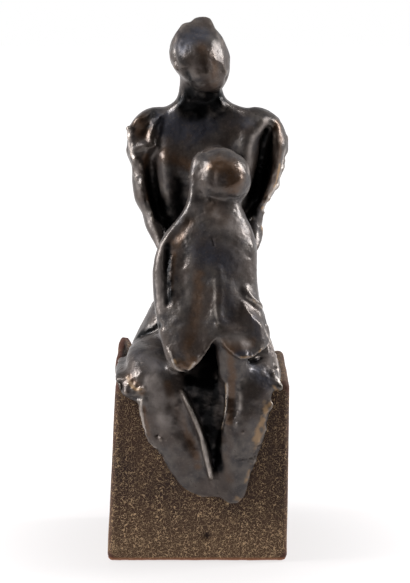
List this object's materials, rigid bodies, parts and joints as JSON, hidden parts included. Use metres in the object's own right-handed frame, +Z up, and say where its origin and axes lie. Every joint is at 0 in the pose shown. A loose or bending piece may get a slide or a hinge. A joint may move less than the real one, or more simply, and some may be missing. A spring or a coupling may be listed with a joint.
{
  "type": "mother and child sculpture",
  "caption": "Seated mother holding a child on a square block, slab-built stoneware with torn edges, rests on its flat underside.",
  "frame": {"origin": "centre of the block's underside", "axes": "+Z up, the figures face -Y, +X is the viewer's right"},
  "size_m": [0.1353, 0.1406, 0.4],
  "materials": {
    "dark_glaze": "bronze-black satin glaze over torn stoneware slabs, browner where it is thin",
    "mottled_glaze": "dry dark brown glaze broken by a net of pale ochre lines, red-brown along the edges"
  },
  "bodies": {
    "root": {"mother_and_child": "dark_glaze", "seat_block": "mottled_glaze"}
  },
  "joints": []
}
